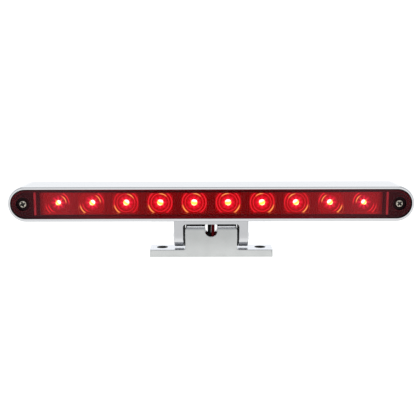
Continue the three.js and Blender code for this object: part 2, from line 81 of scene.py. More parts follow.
BAR_LOW, BAR_HIGH = span("chrome_housing")
LENS_LOW, LENS_HIGH = span("lamp_lens")
TRAY_LOW, TRAY_HIGH = span("reflector_tray")
YOKE_LOW, YOKE_HIGH = span("swivel_yoke")
BASE_HIGH = span("swivel_base")[1]
COIL_LOW, COIL_HIGH = span("lead_coil")
MID_Z = (BAR_LOW.z + BAR_HIGH.z) / 2
AXIS_Z = frame["joints"][0]["pos_m"][2] / MM
LED_NAMES = [f"led_{i:02d}" for i in range(1, 11)]

# ---------- camera

CAMERA_PLACE = (-0.00067, -0.43084, 0.10016)
CAMERA_PITCH = radians(9.625)
CAMERA_ROLL = radians(-0.124)
CAMERA_LENS = 62.6


def make_camera():
    """The camera at the photographed angle: in front of the lamp and above it, looking slightly down."""
    forward = Vector((0, cos(CAMERA_PITCH), -sin(CAMERA_PITCH)))
    right = Vector((1, 0, 0))
    up = right.cross(forward)
    rolled_right = right * cos(CAMERA_ROLL) + up * sin(CAMERA_ROLL)
    rolled_up = up * cos(CAMERA_ROLL) - right * sin(CAMERA_ROLL)
    data = bpy.data.cameras.new("camera")
    data.lens = CAMERA_LENS
    data.sensor_width = 36
    data.clip_start = 0.01
    camera = bpy.data.objects.new("camera", data)
    bpy.context.scene.collection.objects.link(camera)
    turn = Matrix((rolled_right, rolled_up, -forward)).transposed()
    camera.matrix_world = Matrix.Translation(CAMERA_PLACE) @ turn.to_4x4()
    bpy.context.scene.camera = camera


# ---------- materials


def feed(node, **values):
    """Sets a node's unlinked inputs; _ in a name stands for a space."""
    for name, value in values.items():
        node.inputs[name.replace("_", " ")].default_value = value


class Look:
    """A node material around one Principled shader, with helpers for its textures."""

    def __init__(self, name, color, roughness, metallic=0.0):
        self.material = bpy.data.materials.new(name)
        self.material.use_nodes = True
        self.tree = self.material.node_tree
        self.shader = self.tree.nodes["Principled BSDF"]
        feed(self.shader, Base_Color=(*color, 1), Roughness=roughness, Metallic=metallic)
        self.place = self.node("ShaderNodeTexCoord").outputs["Object"]

    def node(self, kind, **settings):
        made = self.tree.nodes.new(kind)
        for key, value in settings.items():
            setattr(made, key, value)
        return made

    def link(self, source, target):
        self.tree.links.new(source, target)

    def noise(self, scale, detail=2.0, stretch=(1, 1, 1)):
        """Noise in the object's own space; scale is in features per metre."""
        mapping = self.node("ShaderNodeMapping")
        feed(mapping, Scale=stretch)
        self.link(self.place, mapping.inputs["Vector"])
        made = self.node("ShaderNodeTexNoise")
        feed(made, Scale=scale, Detail=detail)
        self.link(mapping.outputs["Vector"], made.inputs["Vector"])
        return made.outputs["Fac"]

    def spread(self, source, low, high, start=0.3, stop=0.7):
        """A value mapped from start..stop to low..high."""
        made = self.node("ShaderNodeMapRange")
        feed(made, From_Min=start, From_Max=stop, To_Min=low, To_Max=high)
        self.link(source, made.inputs["Value"])
        return made.outputs["Result"]

    def ramp(self, source, stops):
        """A colour ramp; stops are (place, colour) pairs."""
        made = self.node("ShaderNodeValToRGB")
        elements = made.color_ramp.elements
        while len(elements) < len(stops):
            elements.new(0.5)
        for element, (where, color) in zip(elements, stops):
            element.position = where
            element.color = (*color, 1)
        self.link(source, made.inputs["Fac"])
        return made.outputs["Color"]

    def bump(self, source, strength, distance):
        """Adds a bump to the surface; distance is in metres."""
        made = self.node("ShaderNodeBump")
        feed(made, Strength=strength, Distance=distance)
        self.link(source, made.inputs["Height"])
        self.link(made.outputs["Normal"], self.shader.inputs["Normal"])

    def rough(self, source, low, high):
        self.link(self.spread(source, low, high), self.shader.inputs["Roughness"])

    def tint(self, source, dark, light, start=0.3, stop=0.7):
        """Colour that varies between two tones."""
        value = self.spread(source, 0, 1, start, stop)
        self.link(self.ramp(value, [(0, dark), (1, light)]), self.shader.inputs["Base Color"])

    def attribute(self, name):
        return self.node("ShaderNodeAttribute", attribute_name=name)

    def math(self, operation, *values):
        """A maths node; each value is a number or a socket."""
        made = self.node("ShaderNodeMath", operation=operation)
        for socket, value in zip(made.inputs, values):
            if isinstance(value, (int, float)):
                socket.default_value = value
            else:
                self.link(value, socket)
        return made.outputs["Value"]

    def mix(self, share, low, high):
        """A colour between two; each is a colour or a socket."""
        made = self.node("ShaderNodeMix", data_type="RGBA")
        self.link(share, made.inputs["Factor"])
        for socket, value in ((made.inputs[6], low), (made.inputs[7], high)):
            if isinstance(value, tuple):
                socket.default_value = (*value, 1)
            else:
                self.link(value, socket)
        return made.outputs[2]

    def split(self, source=None):
        """X, Y and Z of a vector, or of the place in the object."""
        made = self.node("ShaderNodeSeparateXYZ")
        self.link(self.place if source is None else source, made.inputs["Vector"])
        return [made.outputs[axis] for axis in "XYZ"]

    def times(self, one, other):
        return self.math("MULTIPLY", one, other)

    def from_middle(self):
        """Distance along the lamp from its middle, in metres."""
        return self.math("ABSOLUTE", self.split()[0])

    def glow(self, color_source, strength=1.0):
        self.link(color_source, self.shader.inputs["Emission Color"])
        feed(self.shader, Emission_Strength=strength)


def chrome(name="bright_chrome", shade=0.51):
    look = Look(name, (shade * 0.98, shade * 0.99, shade * 1.01), 0.06, 1)
    look.rough(look.noise(900, 3), 0.04, 0.1)
    look.bump(look.noise(260, 2), 0.06, 0.00004)
    return look.material


def satin_chrome():
    """Satin plate, with a painted highlight that makes it a little brighter where it faces up."""
    look = Look("satin_chrome", (0.6, 0.61, 0.6), 0.25, 1)
    grain = look.spread(look.noise(120, 3), 0, 1)
    plate = look.mix(grain, (0.42, 0.43, 0.425), (0.455, 0.465, 0.46))
    # Painted highlight: faces turned upwards get a lighter base colour.
    facing_up = look.split(look.node("ShaderNodeTexCoord").outputs["Normal"])[2]
    painted_top_light = look.spread(facing_up, 0, 1, 0.3, 0.9)
    look.link(look.mix(painted_top_light, plate, (0.66, 0.67, 0.7)), look.shader.inputs["Base Color"])
    look.rough(look.noise(2600, 3), 0.14, 0.24)
    look.bump(look.noise(6000, 3), 0.05, 0.00001)
    return look.material


def nickel():
    look = Look("nickel_plate", (0.66, 0.6, 0.5), 0.25, 1)
    look.tint(look.noise(1500, 3), (0.38, 0.34, 0.28), (0.64, 0.59, 0.5))
    look.rough(look.noise(3500, 2), 0.18, 0.4)
    look.bump(look.noise(4000, 2), 0.1, 0.00003)
    return look.material


def red_lens():
    look = Look("red_lens", (0.66, 0.03, 0.035), 0.03)
    feed(look.shader, Transmission_Weight=1, IOR=1.12)
    look.rough(look.noise(1200, 2), 0.02, 0.06)
    look.bump(look.noise(180, 2), 0.05, 0.00004)
    # Painted glow: a faint, patchy emission, stronger towards the ends, stands in for LED light scattered in
    # the lens.
    near_end = look.spread(look.from_middle(), 0, 0.85, 0.03, 0.112)
    patchy = look.math("MULTIPLY_ADD", look.noise(300, 3), 0.25, near_end)
    painted_glow_stops = [(0.1, (0.012, 0.0009, 0.0012)), (0.7, (0.012, 0.011, 0.014)), (0.92, (0.02, 0.006, 0.008))]
    look.glow(look.ramp(patchy, painted_glow_stops))
    return look.material


def lens_rim_shade_and_glow():
    # Painted shade: near-black for the gap round the lens and the screw seats, with a faint painted red glow
    # along the middle of the lamp.
    look = Look("lens_rim_shade_and_glow", (0.012, 0.004, 0.005), 0.4)
    feed(look.shader, Specular_IOR_Level=0.08)
    look.tint(look.noise(1500, 2), (0.006, 0.002, 0.003), (0.02, 0.006, 0.008))
    middle = look.spread(look.from_middle(), 1, 0, 0.06, 0.11)
    look.glow(look.mix(middle, (0.0, 0.0, 0.0), (0.11, 0.003, 0.006)))
    return look.material


def cell_glow():
    """Lit optics, all painted light: the LEDs light nothing, so this emission paints the cells' red glow, the
    star round each LED, bright ring arcs as painted highlights and darker corners as painted shade. The
    attribute "cell" is (x, lean, z): x and z from the LED, lean 0.9 at the left end.
    """
    look = Look("lit_cells", (0.1, 0.01, 0.012), 0.3, 0.4)
    x, lean, z = look.split(look.attribute("cell").outputs["Vector"])
    far = look.times(lean, lean)
    drift = look.times(far, 0.74)
    side = look.times(x, look.math("SIGN", lean))

    def distance(across, up):
        square = look.times(up, up)
        return look.math("SQRT", look.math("MULTIPLY_ADD", across, across, square))

    from_led = distance(side, z)
    ring_x, ring_z = look.math("ADD", side, drift), look.math("ADD", z, drift)
    radius = distance(ring_x, ring_z)
    turn = look.math("ARCTAN2", ring_z, ring_x)
    at_end = look.spread(far, 0, 1, 0.12, 0.45)

    def ring(at, width):
        away = look.math("ABSOLUTE", look.math("SUBTRACT", radius, at))
        return look.spread(away, 1.3, 0, 0, width)

    def facing(angle, reach):
        """1 towards an angle, falling to 0 at its reach in degrees."""
        toward = look.math("COSINE", look.math("SUBTRACT", turn, angle))
        return look.spread(toward, 0, 1, cos(radians(reach)), 1)

    inner, outer = ring(RINGS[0], 0.45), ring(RINGS[1], 0.55)
    grain = look.math("MULTIPLY_ADD", look.noise(900, 3), 0.25, look.spread(from_led, 0.75, 0, 2.4, 4.6))
    reds = [(0.1, (0.5, 0.001, 0.003)), (0.5, (0.85, 0.002, 0.008)), (0.85, (1.15, 0.01, 0.03))]
    cell = look.ramp(grain, reds)
    cell = look.mix(look.spread(far, 0, 1, 0.05, 0.8), cell, (0.36, 0.1, 0.13))
    petals = look.math("COSINE", look.times(look.math("ARCTAN2", z, side), 8))
    star = look.times(look.spread(from_led, 1, 0, 2.2, 4.6), look.spread(petals, 0.15, 0.9, -1, 1))
    color = look.mix(star, cell, (1.6, 0.4, 1.7))
    # Painted highlights: bright rings and arcs, shifted along the lamp towards its ends.
    diagonal = look.math("MAXIMUM", facing(radians(218), 42), facing(radians(34), 42))
    whole = look.math("SUBTRACT", 1, at_end)
    shown = look.math("MULTIPLY_ADD", at_end, diagonal, look.times(whole, 0.8))
    color = look.mix(look.times(look.math("MAXIMUM", inner, outer), shown), color, (1.5, 0.5, 0.9))
    outer_arc = look.times(outer, facing(radians(217), 28))
    outer_arc = look.times(outer_arc, look.spread(far, 1, 0.05, 0.5, 0.8))
    color = look.mix(outer_arc, color, (1.8, 14, 2.5))
    high = look.spread(far, radians(70), radians(32), 0.1, 0.5)
    inner_arc = look.times(inner, look.times(facing(high, 30), 0.8))
    color = look.mix(inner_arc, color, (1.8, 15, 3))
    # Painted shade: the cell's corners, far from the LED, darken.
    corners = look.spread(from_led, 0, 0.85, 7.5, 8.4)
    color = look.mix(corners, color, (0.24, 0.05, 0.05))
    look.glow(color)
    look.rough(look.noise(2000, 2), 0.2, 0.5)
    return look.material


def pillar_glow():
    """Dim fluted pillars with a painted glow, a little brighter towards the ends of the lamp."""
    look = Look("dim_pillars", (0.08, 0.008, 0.01), 0.3)
    along = look.from_middle()
    out = look.spread(along, 0, 1, 0.03, 0.095)
    streaks = look.noise(1500, 2, (1, 1, 0.04))
    share = look.math("MULTIPLY_ADD", streaks, 0.5, look.math("MULTIPLY_ADD", out, 0.6, -0.1))
    stops = [(0.1, (0.12, 0.002, 0.002)), (0.45, (0.24, 0.02, 0.025)), (0.9, (0.4, 0.15, 0.2))]
    color = look.ramp(share, stops)
    # Painted shade: darker between the last cell and the lens's end wall.
    starts = look.spread(along, 0, 0.85, 0.0965, 0.1)
    past = look.math("SUBTRACT", starts, look.spread(along, 0, 0.68, 0.1012, 0.102))
    look.glow(look.mix(past, color, (0.05, 0.02, 0.025)))
    return look.material


def led_core():
    """A lit dome, white above and yellow below, with a darker line between."""
    look = Look("led_core", (0.9, 0.5, 0.4), 0.1)
    x, lean, z = look.split(look.attribute("cell").outputs["Vector"])
    height = look.math("MULTIPLY_ADD", look.times(x, lean), 1.4, z)
    height = look.math("MULTIPLY_ADD", look.noise(1200, 1), 0.8, height)
    share = look.spread(height, 0, 1, -0.9, 2.6)
    color = look.ramp(share, [
        (0.05, (0.05, 1.0, 0.5)), (0.2, (0.05, 0.8, 0.08)), (0.42, (0.04, 0.7, 0.07)),
        (0.5, (0.03, 0.45, 0.08)), (0.58, (0.05, 1.0, 0.3)), (0.72, (0.05, 1, 0.85)),
    ])
    look.glow(color, 45)
    return look.material


def led_petals():
    # Painted glow: the petalled base round each LED glows red, brightest next to the dome.
    look = Look("led_petals", (0.5, 0.02, 0.04), 0.12)
    color = look.ramp(
        look.attribute("glow").outputs["Fac"],
        [(0, (0.6, 0.01, 0.1)), (0.6, (1.2, 0.2, 0.7)), (1, (1.5, 3.0, 1.8))],
    )
    look.glow(color)
    return look.material


def dull(name, dark, light, roughness=0.55, grain=2500, strength=0.25, gloss=0.25):
    """A moulded or rubbery surface: two close tones, a fine grain and uneven gloss."""
    look = Look(name, light, roughness)
    feed(look.shader, Specular_IOR_Level=gloss)
    look.tint(look.noise(grain / 4, 3), dark, light)
    look.rough(look.noise(grain, 2), roughness - 0.1, roughness + 0.1)
    look.bump(look.noise(grain, 3), strength, 0.00004)
    return look.material


def board_green():
    look = Look("board_green", (0.02, 0.11, 0.05), 0.4)
    bricks = look.node("ShaderNodeTexBrick")
    feed(bricks, Scale=120, Mortar_Size=0.03, Mortar=(0.09, 0.2, 0.08, 1))
    feed(bricks, Color1=(0.015, 0.1, 0.045, 1), Color2=(0.02, 0.13, 0.06, 1))
    turned = look.node("ShaderNodeMapping")
    feed(turned, Rotation=(radians(90), 0, 0))
    look.link(look.place, turned.inputs["Vector"])
    look.link(turned.outputs["Vector"], bricks.inputs["Vector"])
    look.link(bricks.outputs["Color"], look.shader.inputs["Base Color"])
    look.bump(bricks.outputs["Fac"], 0.3, 0.00004)
    return look.material


def tinned():
    look = Look("tinned_strands", (0.62, 0.62, 0.63), 0.3, 1)
    look.rough(look.noise(3000, 2), 0.25, 0.45)
    look.bump(look.noise(2500, 2, (1, 0.15, 1)), 0.4, 0.00006)
    return look.material


RINGS = (5.25, 6.95)
LOOKS = {
    "chrome": chrome(),
    # A brighter copy of the chrome for the rim's front lip: a painted highlight.
    "lip_painted_highlight": chrome("lip_painted_highlight", 0.66),
    "satin_chrome": satin_chrome(),
    "nickel": nickel(),
    "red_lens": red_lens(),
    "lens_rim_shade_and_glow": lens_rim_shade_and_glow(),
    "cell_glow": cell_glow(),
    "pillar_glow": pillar_glow(),
    "led_core": led_core(),
    "led_petals": led_petals(),
    # Near-black for screw slots, the yoke's inner faces and webs and the ear holes: painted shade.
    "recess": dull("recess_painted_shade", (0.01, 0.009, 0.008), (0.03, 0.026, 0.022), 0.5),
    # Black without gloss: painted shade for the gap under the yoke.
    "shade": dull("unlit_plate", (0.006, 0.006, 0.006), (0.014, 0.014, 0.014), 0.9, gloss=0.0),
    "board": board_green(),
    "tinned": tinned(),
    "rubber": dull("black_rubber", (0.008, 0.008, 0.009), (0.022, 0.022, 0.024), 0.6),
    "plastic": dull("black_plastic", (0.012, 0.012, 0.013), (0.03, 0.03, 0.032), 0.45),
    "black_wire": dull("black_insulation", (0.006, 0.006, 0.006), (0.013, 0.013, 0.014), 0.6, 1500, 0.1, 0.1),
    "red_wire": dull("red_insulation", (0.13, 0.004, 0.007), (0.24, 0.008, 0.013), 0.5, 1500, 0.1, 0.1),
}

# ---------- mesh tools


def loft(rings, close_start=True, close_end=True, loop=False):
    """A skin over closed rings of equal length. loop joins the last ring to the first."""
    bm = bmesh.new()
    rows = [[bm.verts.new(point) for point in ring] for ring in rings]
    pairs = list(zip(rows, rows[1:]))
    if loop:
        pairs.append((rows[-1], rows[0]))
    for near, far in pairs:
        for i in range(len(near)):
            j = (i + 1) % len(near)
            bm.faces.new((near[i], near[j], far[j], far[i]))
    if close_start and not loop:
        bm.faces.new(list(reversed(rows[0])))
    if close_end and not loop:
        bm.faces.new(rows[-1])
    bmesh.ops.recalc_face_normals(bm, faces=bm.faces)
    return bm


def arc(cx, cy, radius, start, stop, steps):
    """Points on an arc, angles in degrees."""
    return [
        (cx + radius * cos(a), cy + radius * sin(a))
        for a in (radians(start + (stop - start) * i / steps) for i in range(steps + 1))
    ]


def stadium(width, height, mid=0.0, steps=28):
    """Outline of a bar with round ends."""
    radius = height / 2
    x = width / 2 - radius
    return arc(x, mid, radius, -90, 90, steps) + arc(-x, mid, radius, 90, 270, steps)


def round_rectangle(width, height, corner, cx=0.0, cy=0.0, steps=8):
    """Outline of a rectangle with round corners."""
    x, y = width / 2 - corner, height / 2 - corner
    corners = ((x, y, 0), (-x, y, 90), (-x, -y, 180), (x, -y, 270))
    points = []
    for px, py, start in corners:
        points += arc(cx + px, cy + py, corner, start, start + 90, steps)
    return points


PLACES = {
    "x": lambda a, b, t: (t, a, b),
    "y": lambda a, b, t: (a, t, b),
    "z": lambda a, b, t: (a, b, t),
}


def prism(outline, axis, low, high):
    """A straight-sided solid over an outline drawn in the plane across an axis."""
    place = PLACES[axis]
    return loft([[place(a, b, t) for a, b in outline] for t in (low, high)])


def shrunk(outline, inset):
    """An outline moved inwards by a small distance, or outwards when that is negative."""
    area = sum(a[0] * b[1] - b[0] * a[1] for a, b in zip(outline, outline[1:] + outline[:1]))
    way = inset if area > 0 else -inset
    made = []
    for before, point, after in zip(outline[-1:] + outline, outline, outline[1:] + outline[:1]):
        first = Vector((before[1] - point[1], point[0] - before[0])).normalized()
        second = Vector((point[1] - after[1], after[0] - point[0])).normalized()
        shift = (first + second) / (1 + first.dot(second)) * way
        made.append((point[0] + shift.x, point[1] + shift.y))
    return made


def soft_prism(outline, axis, low, high, edge, steps=6):
    """A prism whose end faces have rounded edges, or flared ones when edge is negative."""
    place = PLACES[axis]
    depth = abs(edge)
    inset = [(edge * (1 - sin(a)), depth * (1 - cos(a))) for a in quarter(steps)]
    levels = [(shift, low + rise) for shift, rise in inset]
    levels += [(shift, high - rise) for shift, rise in reversed(inset)]
    return loft([[place(a, b, t) for a, b in shrunk(outline, shift)] for shift, t in levels])


def quarter(steps):
    """Angles from 0 to 90 degrees."""
    return [pi / 2 * i / steps for i in range(steps + 1)]


def circle(steps):
    """Angles all the way round."""
    return [2 * pi * i / steps for i in range(steps)]


def lathe(profile, steps=48):
    """A body turned about +Z. The profile is (radius, height) pairs; radius 0 closes an end."""
    bm = bmesh.new()
    rows = []
    for radius, height in profile:
        if radius < 1e-6:
            rows.append([bm.verts.new((0, 0, height))])
            continue
        around = ((radius * cos(a), radius * sin(a), height) for a in circle(steps))
        rows.append([bm.verts.new(point) for point in around])
    for near, far in zip(rows, rows[1:]):
        for i in range(steps):
            j = (i + 1) % steps
            corners = [near[i % len(near)], near[j % len(near)], far[j % len(far)], far[i % len(far)]]
            unique = list(dict.fromkeys(corners))
            if len(unique) > 2:
                bm.faces.new(unique)
    bmesh.ops.recalc_face_normals(bm, faces=bm.faces)
    return bm


def moved(bm, move=(0, 0, 0), turn=None):
    """The mesh turned by a matrix and then moved."""
    if turn is not None:
        bmesh.ops.transform(bm, matrix=turn.to_4x4(), verts=bm.verts)
    bmesh.ops.translate(bm, vec=move, verts=bm.verts)
    return bm


TO_FRONT = Matrix.Rotation(radians(90), 3, "X")  # +Z becomes -Y
TO_RIGHT = Matrix.Rotation(radians(90), 3, "Y")  # +Z becomes +X
TO_LEFT = Matrix.Rotation(radians(-90), 3, "Y")


def raw_object(name, bm):
    mesh = bpy.data.meshes.new(name)
    bm.to_mesh(mesh)
    bm.free()
    made = bpy.data.objects.new(name, mesh)
    bpy.context.scene.collection.objects.link(made)
    return made


def carve(bm, steps, slots=1):
    """Joins and cuts: steps are (operation, bmesh) pairs. Returns a new bmesh."""
    body = raw_object("carving", bm)
    for _ in range(slots):
        body.data.materials.append(LOOKS["recess"])
    for operation, tool_bm in steps:
        tool = raw_object("tool", tool_bm)
        for _ in range(slots):
            tool.data.materials.append(LOOKS["recess"])
        modifier = body.modifiers.new("join_or_cut", "BOOLEAN")
        modifier.operation = operation
        modifier.solver = "EXACT"
        modifier.object = tool
        graph = bpy.context.evaluated_depsgraph_get()
        result = bpy.data.meshes.new_from_object(body.evaluated_get(graph))
        body.modifiers.clear()
        body.data = result
        bpy.data.objects.remove(tool)
    made = bmesh.new()
    made.from_mesh(body.data)
    bpy.data.objects.remove(body)
    return made


def joined(parts):
    """Several meshes as one."""
    made = bmesh.new()
    for part in parts:
        mesh = bpy.data.meshes.new("part")
        part.to_mesh(mesh)
        part.free()
        made.from_mesh(mesh)
        bpy.data.meshes.remove(mesh)
    return made


def finished(name, bm, looks, body, stands_for=(), sharp=35, flat=False):
    """Turns a mesh in millimetres into a piece that rides on a body and stands for CAD nodes."""
    bmesh.ops.scale(bm, vec=(MM, MM, MM), verts=bm.verts)
    limit = radians(sharp)
    for face in bm.faces:
        face.smooth = True
    for edge in bm.edges:
        edge.smooth = len(edge.link_faces) == 2 and edge.calc_face_angle(0) < limit
    made = raw_object(name, bm)
    for look in looks:
        made.data.materials.append(LOOKS[look])
    if flat:
        made.modifiers.new("flat_faces", "WEIGHTED_NORMAL").keep_sharp = True
    if body:
        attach(made, body)
    if stands_for:
        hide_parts(*stands_for)
    return made


# ---------- lamp head

HEAD = "lamp_head"
BASE = "base"


def bar_ring(inset, end_inset, y):
    width = BAR_HIGH.x - BAR_LOW.x - 2 * end_inset
    height = BAR_HIGH.z - BAR_LOW.z - 2 * inset
    return [(x, y, z) for x, z in stadium(width, height, MID_Z)]


def housing_shell():
    """The chrome shell: a rounded rim, straight sides and a rounded back edge."""
    front, back = BAR_LOW.y, BAR_HIGH.y
    inner, outer = 0.15, FRONT_EDGE
    lip_in = [(WALL - inner + inner * cos(a), front + inner - inner * sin(a)) for a in quarter(6)]
    lip_out = [(outer - outer * sin(a), front + outer - outer * cos(a)) for a in quarter(10)]
    rear = [(BACK_EDGE * (1 - cos(a)), back - BACK_EDGE * (1 - sin(a))) for a in quarter(10)]
    profile = [(WALL, back - BACK_WALL)] + lip_in + lip_out + rear
    bm = loft([bar_ring(inset, inset * END_WALL / WALL, y) for inset, y in profile])
    for face in bm.faces:
        # The rim's front faces take the brighter chrome copy, a painted highlight.
        face.material_index = 1 if face.calc_center_median().y < front + 0.01 else 0
    looks = ["chrome", "lip_painted_highlight"]
    return finished("housing_shell", bm, looks, HEAD, ["chrome_housing"], flat=True)


def lens_ring(inset, y):
    width = LENS_HIGH.x - LENS_LOW.x
    height = LENS_HIGH.z - LENS_LOW.z
    return [(x, y, z) for x, z in stadium(width - 2 * inset, height - 2 * inset, MID_Z)]


SCREW_X = span("lens_screw_right")[0].x + 2.45
LENS_INSIDE = LENS_LOW.y + LENS_FACE


def front_rod(radius, front, back, x, z, steps=40):
    bm = lathe([(0, -back), (radius, -back), (radius, -front), (0, -front)], steps)
    return moved(bm, (x, 0, z), TO_FRONT)


def lens_cover():
    """The red lens: a soft-edged shell with end walls, screw pillars and counterbores."""
    front, back = LENS_LOW.y, LENS_HIGH.y
    edge = 0.6
    nose = [(edge - edge * sin(a), front + edge - edge * cos(a)) for a in quarter(6)]
    outer = loft([lens_ring(inset, y) for inset, y in nose + [(0, back)]])
    inner = loft([lens_ring(LENS_SKIRT, LENS_INSIDE), lens_ring(LENS_SKIRT, back + 1)])
    steps = [("DIFFERENCE", inner)]
    half = (LENS_HIGH.z - LENS_LOW.z) / 2 - LENS_SKIRT / 2
    for _, side in SIDES:
        x = side * SCREW_X
        near, far = side * LENS_WALL_X - LENS_WALL_HALF, side * LENS_WALL_X + LENS_WALL_HALF
        outline = [(near, MID_Z - half), (far, MID_Z - half), (far, MID_Z + half), (near, MID_Z + half)]
        steps.append(("UNION", prism(outline, "y", LENS_INSIDE - 0.5, back - 0.4)))
        steps.append(("UNION", front_rod(PILLAR, LENS_INSIDE - 0.5, back, x, MID_Z)))
        steps.append(("DIFFERENCE", front_rod(BORE, front - 1, front + 2, x, MID_Z)))
        steps.append(("DIFFERENCE", front_rod(SCREW_HOLE, front + 1, back + 1, x, MID_Z, 24)))
    bm = carve(outer, steps)
    paint_lens_rim(bm)
    return finished("lens_cover", bm, ["red_lens", "lens_rim_shade_and_glow"], HEAD, ["lamp_lens"])


def paint_lens_rim(bm):
    """Gives the lens's outer side and the seats of its two screws the dark rim material: painted shade of the
    gap round the lens and of the counterbores.
    """
    bm.normal_update()
    width = LENS_HIGH.x - LENS_LOW.x
    radius = (LENS_HIGH.z - LENS_LOW.z) / 2
    straight = width / 2 - radius
    for face in bm.faces:
        centre = face.calc_center_median()
        beyond = max(0.0, abs(centre.x) - straight)
        from_edge = radius - hypot(beyond, centre.z - MID_Z)
        at_side = from_edge < 0.3 and centre.y > LENS_LOW.y + 0.02
        from_screw = hypot(abs(centre.x) - SCREW_X, centre.z - MID_Z)
        at_seat = from_screw < BORE + 0.05 and LENS_LOW.y + 0.3 < centre.y < LENS_LOW.y + 2.5
        if at_side or at_seat:
            face.material_index = 1


def annulus(radius, width, depth, y, x, z, steps=72, sections=6):
    """A low rounded ridge round a point on the lens's inner face."""
    rings = []
    for s in range(sections + 1):
        a = pi * s / sections
        r = radius + width / 2 * cos(a)
        lift = depth * sin(a)
        rings.append([(x + r * cos(t), y + lift, z + r * sin(t)) for t in circle(steps)])
    return loft(rings, loop=True)


LED_X = [sum(span(name), Vector()).x / 2 for name in LED_NAMES]


def end_rings():
    """Faint concentric ridges round the two screw pillars."""
    parts = []
    for _, side in SIDES:
        for radius in (5.5, 6.1, 6.7):
            parts.append(annulus(radius, 0.3, 0.2, LENS_INSIDE + 0.02, side * SCREW_X, MID_Z))
    return finished("lens_end_rings", joined(parts), ["red_lens"], HEAD)


def end_glow():
    """The lit edge of the lens's inner end wall at each side of the tray: a thin slab with a painted glow."""
    parts = []
    half = (LENS_HIGH.z - LENS_LOW.z) / 2 - LENS_SKIRT - 0.1
    for _, side in SIDES:
        outline = round_rectangle(2 * LENS_WALL_HALF, 2 * half, 0.4, side * LENS_WALL_X, MID_Z, 3)
        parts.append(prism(outline, "y", LENS_INSIDE + 0.1, LENS_INSIDE + 0.4))
    return finished("lit_end_walls", joined(parts), ["pillar_glow"], HEAD)


def cell_tray():
    """The tray: ten lit cells with ringed optics, and dim pillars between them."""
    front, back = TRAY_LOW.y, TRAY_HIGH.y
    floor = back - 1.0
    half = (TRAY_HIGH.z - TRAY_LOW.z) / 2
    parts = []
    for x in LED_X:
        rim = round_rectangle(CELL_WIDTH, CELL_HEIGHT, CELL_CORNER, x, MID_Z)
        bottom = round_rectangle(CELL_WIDTH - 0.2, CELL_HEIGHT - 0.1, CELL_CORNER + 0.1, x, MID_Z)
        top_ring, bottom_ring = [(a, front, b) for a, b in rim], [(a, floor, b) for a, b in bottom]
        parts.append(loft([edge_of_cell(rim, x, half, front), top_ring], False, False))
        parts.append(loft([top_ring, bottom_ring], False, False))
        parts.append(ringed_floor(bottom, x, floor, back))
    bm = joined(parts)
    cell = bm.verts.layers.float_vector.new("cell")
    for vert in bm.verts:
        x = min(LED_X, key=lambda place: abs(place - vert.co.x))
        vert[cell] = (vert.co.x - x, -x / 100, vert.co.z - MID_Z)
    for face in bm.faces:
        face.material_index = 1 if face.calc_center_median().y < floor - 0.6 else 0
    return finished("cell_tray", bm, ["cell_glow", "pillar_glow"], HEAD, ["reflector_tray"])


def edge_of_cell(rim, x, half, y):
    """The rim's points pushed out to the rectangle that the cell sits in."""
    made = []
    for a, b in rim:
        across, up = a - x, b - MID_Z
        reach = min(10 / max(abs(across), 1e-9), half / max(abs(up), 1e-9))
        made.append((x + across * reach, y, MID_Z + up * reach))
    return made


def ringed_floor(outline, x, floor, back):
    """The floor of a cell, with two raised rings round the hole that its LED stands in."""
    shares = [i / 40 for i in range(41)]
    hole = 2.4
    rings = []
    for share in shares:
        ring = []
        for a, b in outline:
            across, up = a - x, b - MID_Z
            reach = hypot(across, up)
            radius = hole + (reach - hole) * share
            lift = sum(max(0.0, 1 - abs(radius - at) / 0.6) for at in RINGS) * 0.5
            lift *= min(1.0, (1 - share) * 8)
            ring.append((x + across * radius / reach, floor - lift, MID_Z + up * radius / reach))
        rings.append(ring)
    rings.insert(0, [(a, back, b) for a, _, b in rings[0]])
    return loft(rings, False, False)


def tray_flutes():
    """Half-round ribs on the pillars, two at each side of every cell."""
    parts = []
    front = TRAY_LOW.y
    half = (TRAY_HIGH.z - TRAY_LOW.z) / 2 - 0.3
    for x in LED_X:
        for offset in (-9.5, -8.55, 8.55, 9.5):
            section = arc(x + offset, front, 0.36, 180, 360, 8)
            parts.append(prism(section, "z", MID_Z - half, MID_Z + half))
    return finished("tray_flutes", joined(parts), ["pillar_glow"], HEAD)


